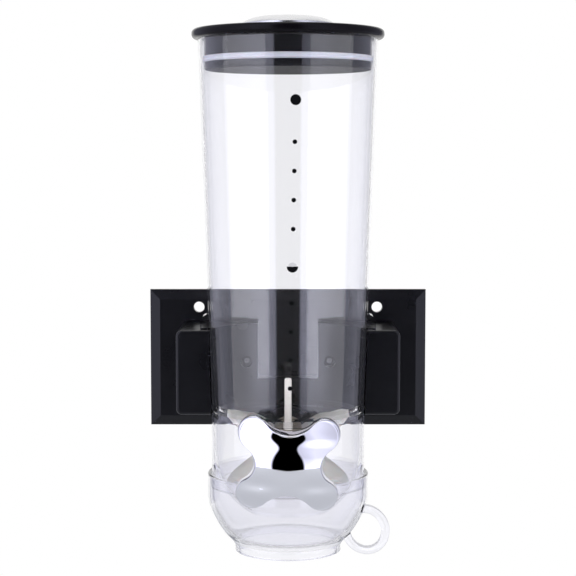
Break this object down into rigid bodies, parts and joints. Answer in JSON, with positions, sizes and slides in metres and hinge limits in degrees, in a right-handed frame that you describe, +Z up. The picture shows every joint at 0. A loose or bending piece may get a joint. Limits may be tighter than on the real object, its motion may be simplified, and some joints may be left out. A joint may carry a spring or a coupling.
{
  "type": "wall-mounted cereal dispenser",
  "caption": "Clear tapered canister with a lid stands in a black wall bracket; a lobed chrome knob turns a vaned wheel that drops dry cereal into a clear mug below.",
  "frame": {"origin": "midway between the two wall screw holes, on the back face of the wall plate", "axes": "+Z up, +Y into the wall, the knob faces -Y, +X to the right as seen by the user"},
  "size_m": [0.18, 0.1275, 0.329],
  "materials": {
    "bracket_black": "black moulded plastic, satin gloss",
    "clear_plastic": "water-clear moulded plastic, polished",
    "screw_steel": "plain machined steel",
    "bush_white": "white bearing plastic",
    "bearing_black": "black bearing plastic",
    "shaft_steel": "turned steel bar",
    "hub_cream": "cream moulded plastic",
    "vane_silicone": "soft cream silicone, matt",
    "rod_white": "off-white moulded plastic",
    "washer_white": "white slippery plastic",
    "chrome_plate": "bright chrome plate",
    "lid_black": "black moulded plastic, gloss",
    "gasket_white": "pale translucent silicone"
  },
  "bodies": {
    "bracket": {"wall_plate": "bracket_black", "cradle": "bracket_black", "cradle_screws": "screw_steel"},
    "canister_unit": {"canister": "clear_plastic", "housing": "clear_plastic", "front_bush": "bush_white", "rear_bearing": "bearing_black"},
    "wheel": {"shaft": "shaft_steel", "wheel_hub": "hub_cream", "vane_1": "vane_silicone", "vane_2": "vane_silicone", "vane_3": "vane_silicone", "vane_4": "vane_silicone", "agitator_rod": "rod_white", "rear_washer": "washer_white", "inner_washer": "washer_white", "outer_washer": "washer_white", "knob": "chrome_plate", "knob_grub_screw": "screw_steel"},
    "lid": {"lid_cap": "lid_black", "lid_insert": "lid_black", "lid_gasket": "gasket_white", "lid_knob": "chrome_plate", "lid_knob_screw": "screw_steel"},
    "mug_body": {"mug": "clear_plastic"}
  },
  "joints": [
    {"name": "canister_lift", "type": "slide", "parent": "bracket", "child": "canister_unit", "axis": [0, 0, 1], "range_m": [0, 0.025]},
    {"name": "wheel_turn", "type": "hinge", "parent": "canister_unit", "child": "wheel", "pos_m": [0, -0.06, -0.082], "axis": [0, -1, 0], "continuous": true},
    {"name": "lid_lift", "type": "slide", "parent": "canister_unit", "child": "lid", "axis": [0, 0, 1], "range_m": [0, 0.03]},
    {"name": "mug_drop", "type": "slide", "parent": "canister_unit", "child": "mug_body", "axis": [0, 0, -1], "range_m": [0, 0.03]}
  ]
}
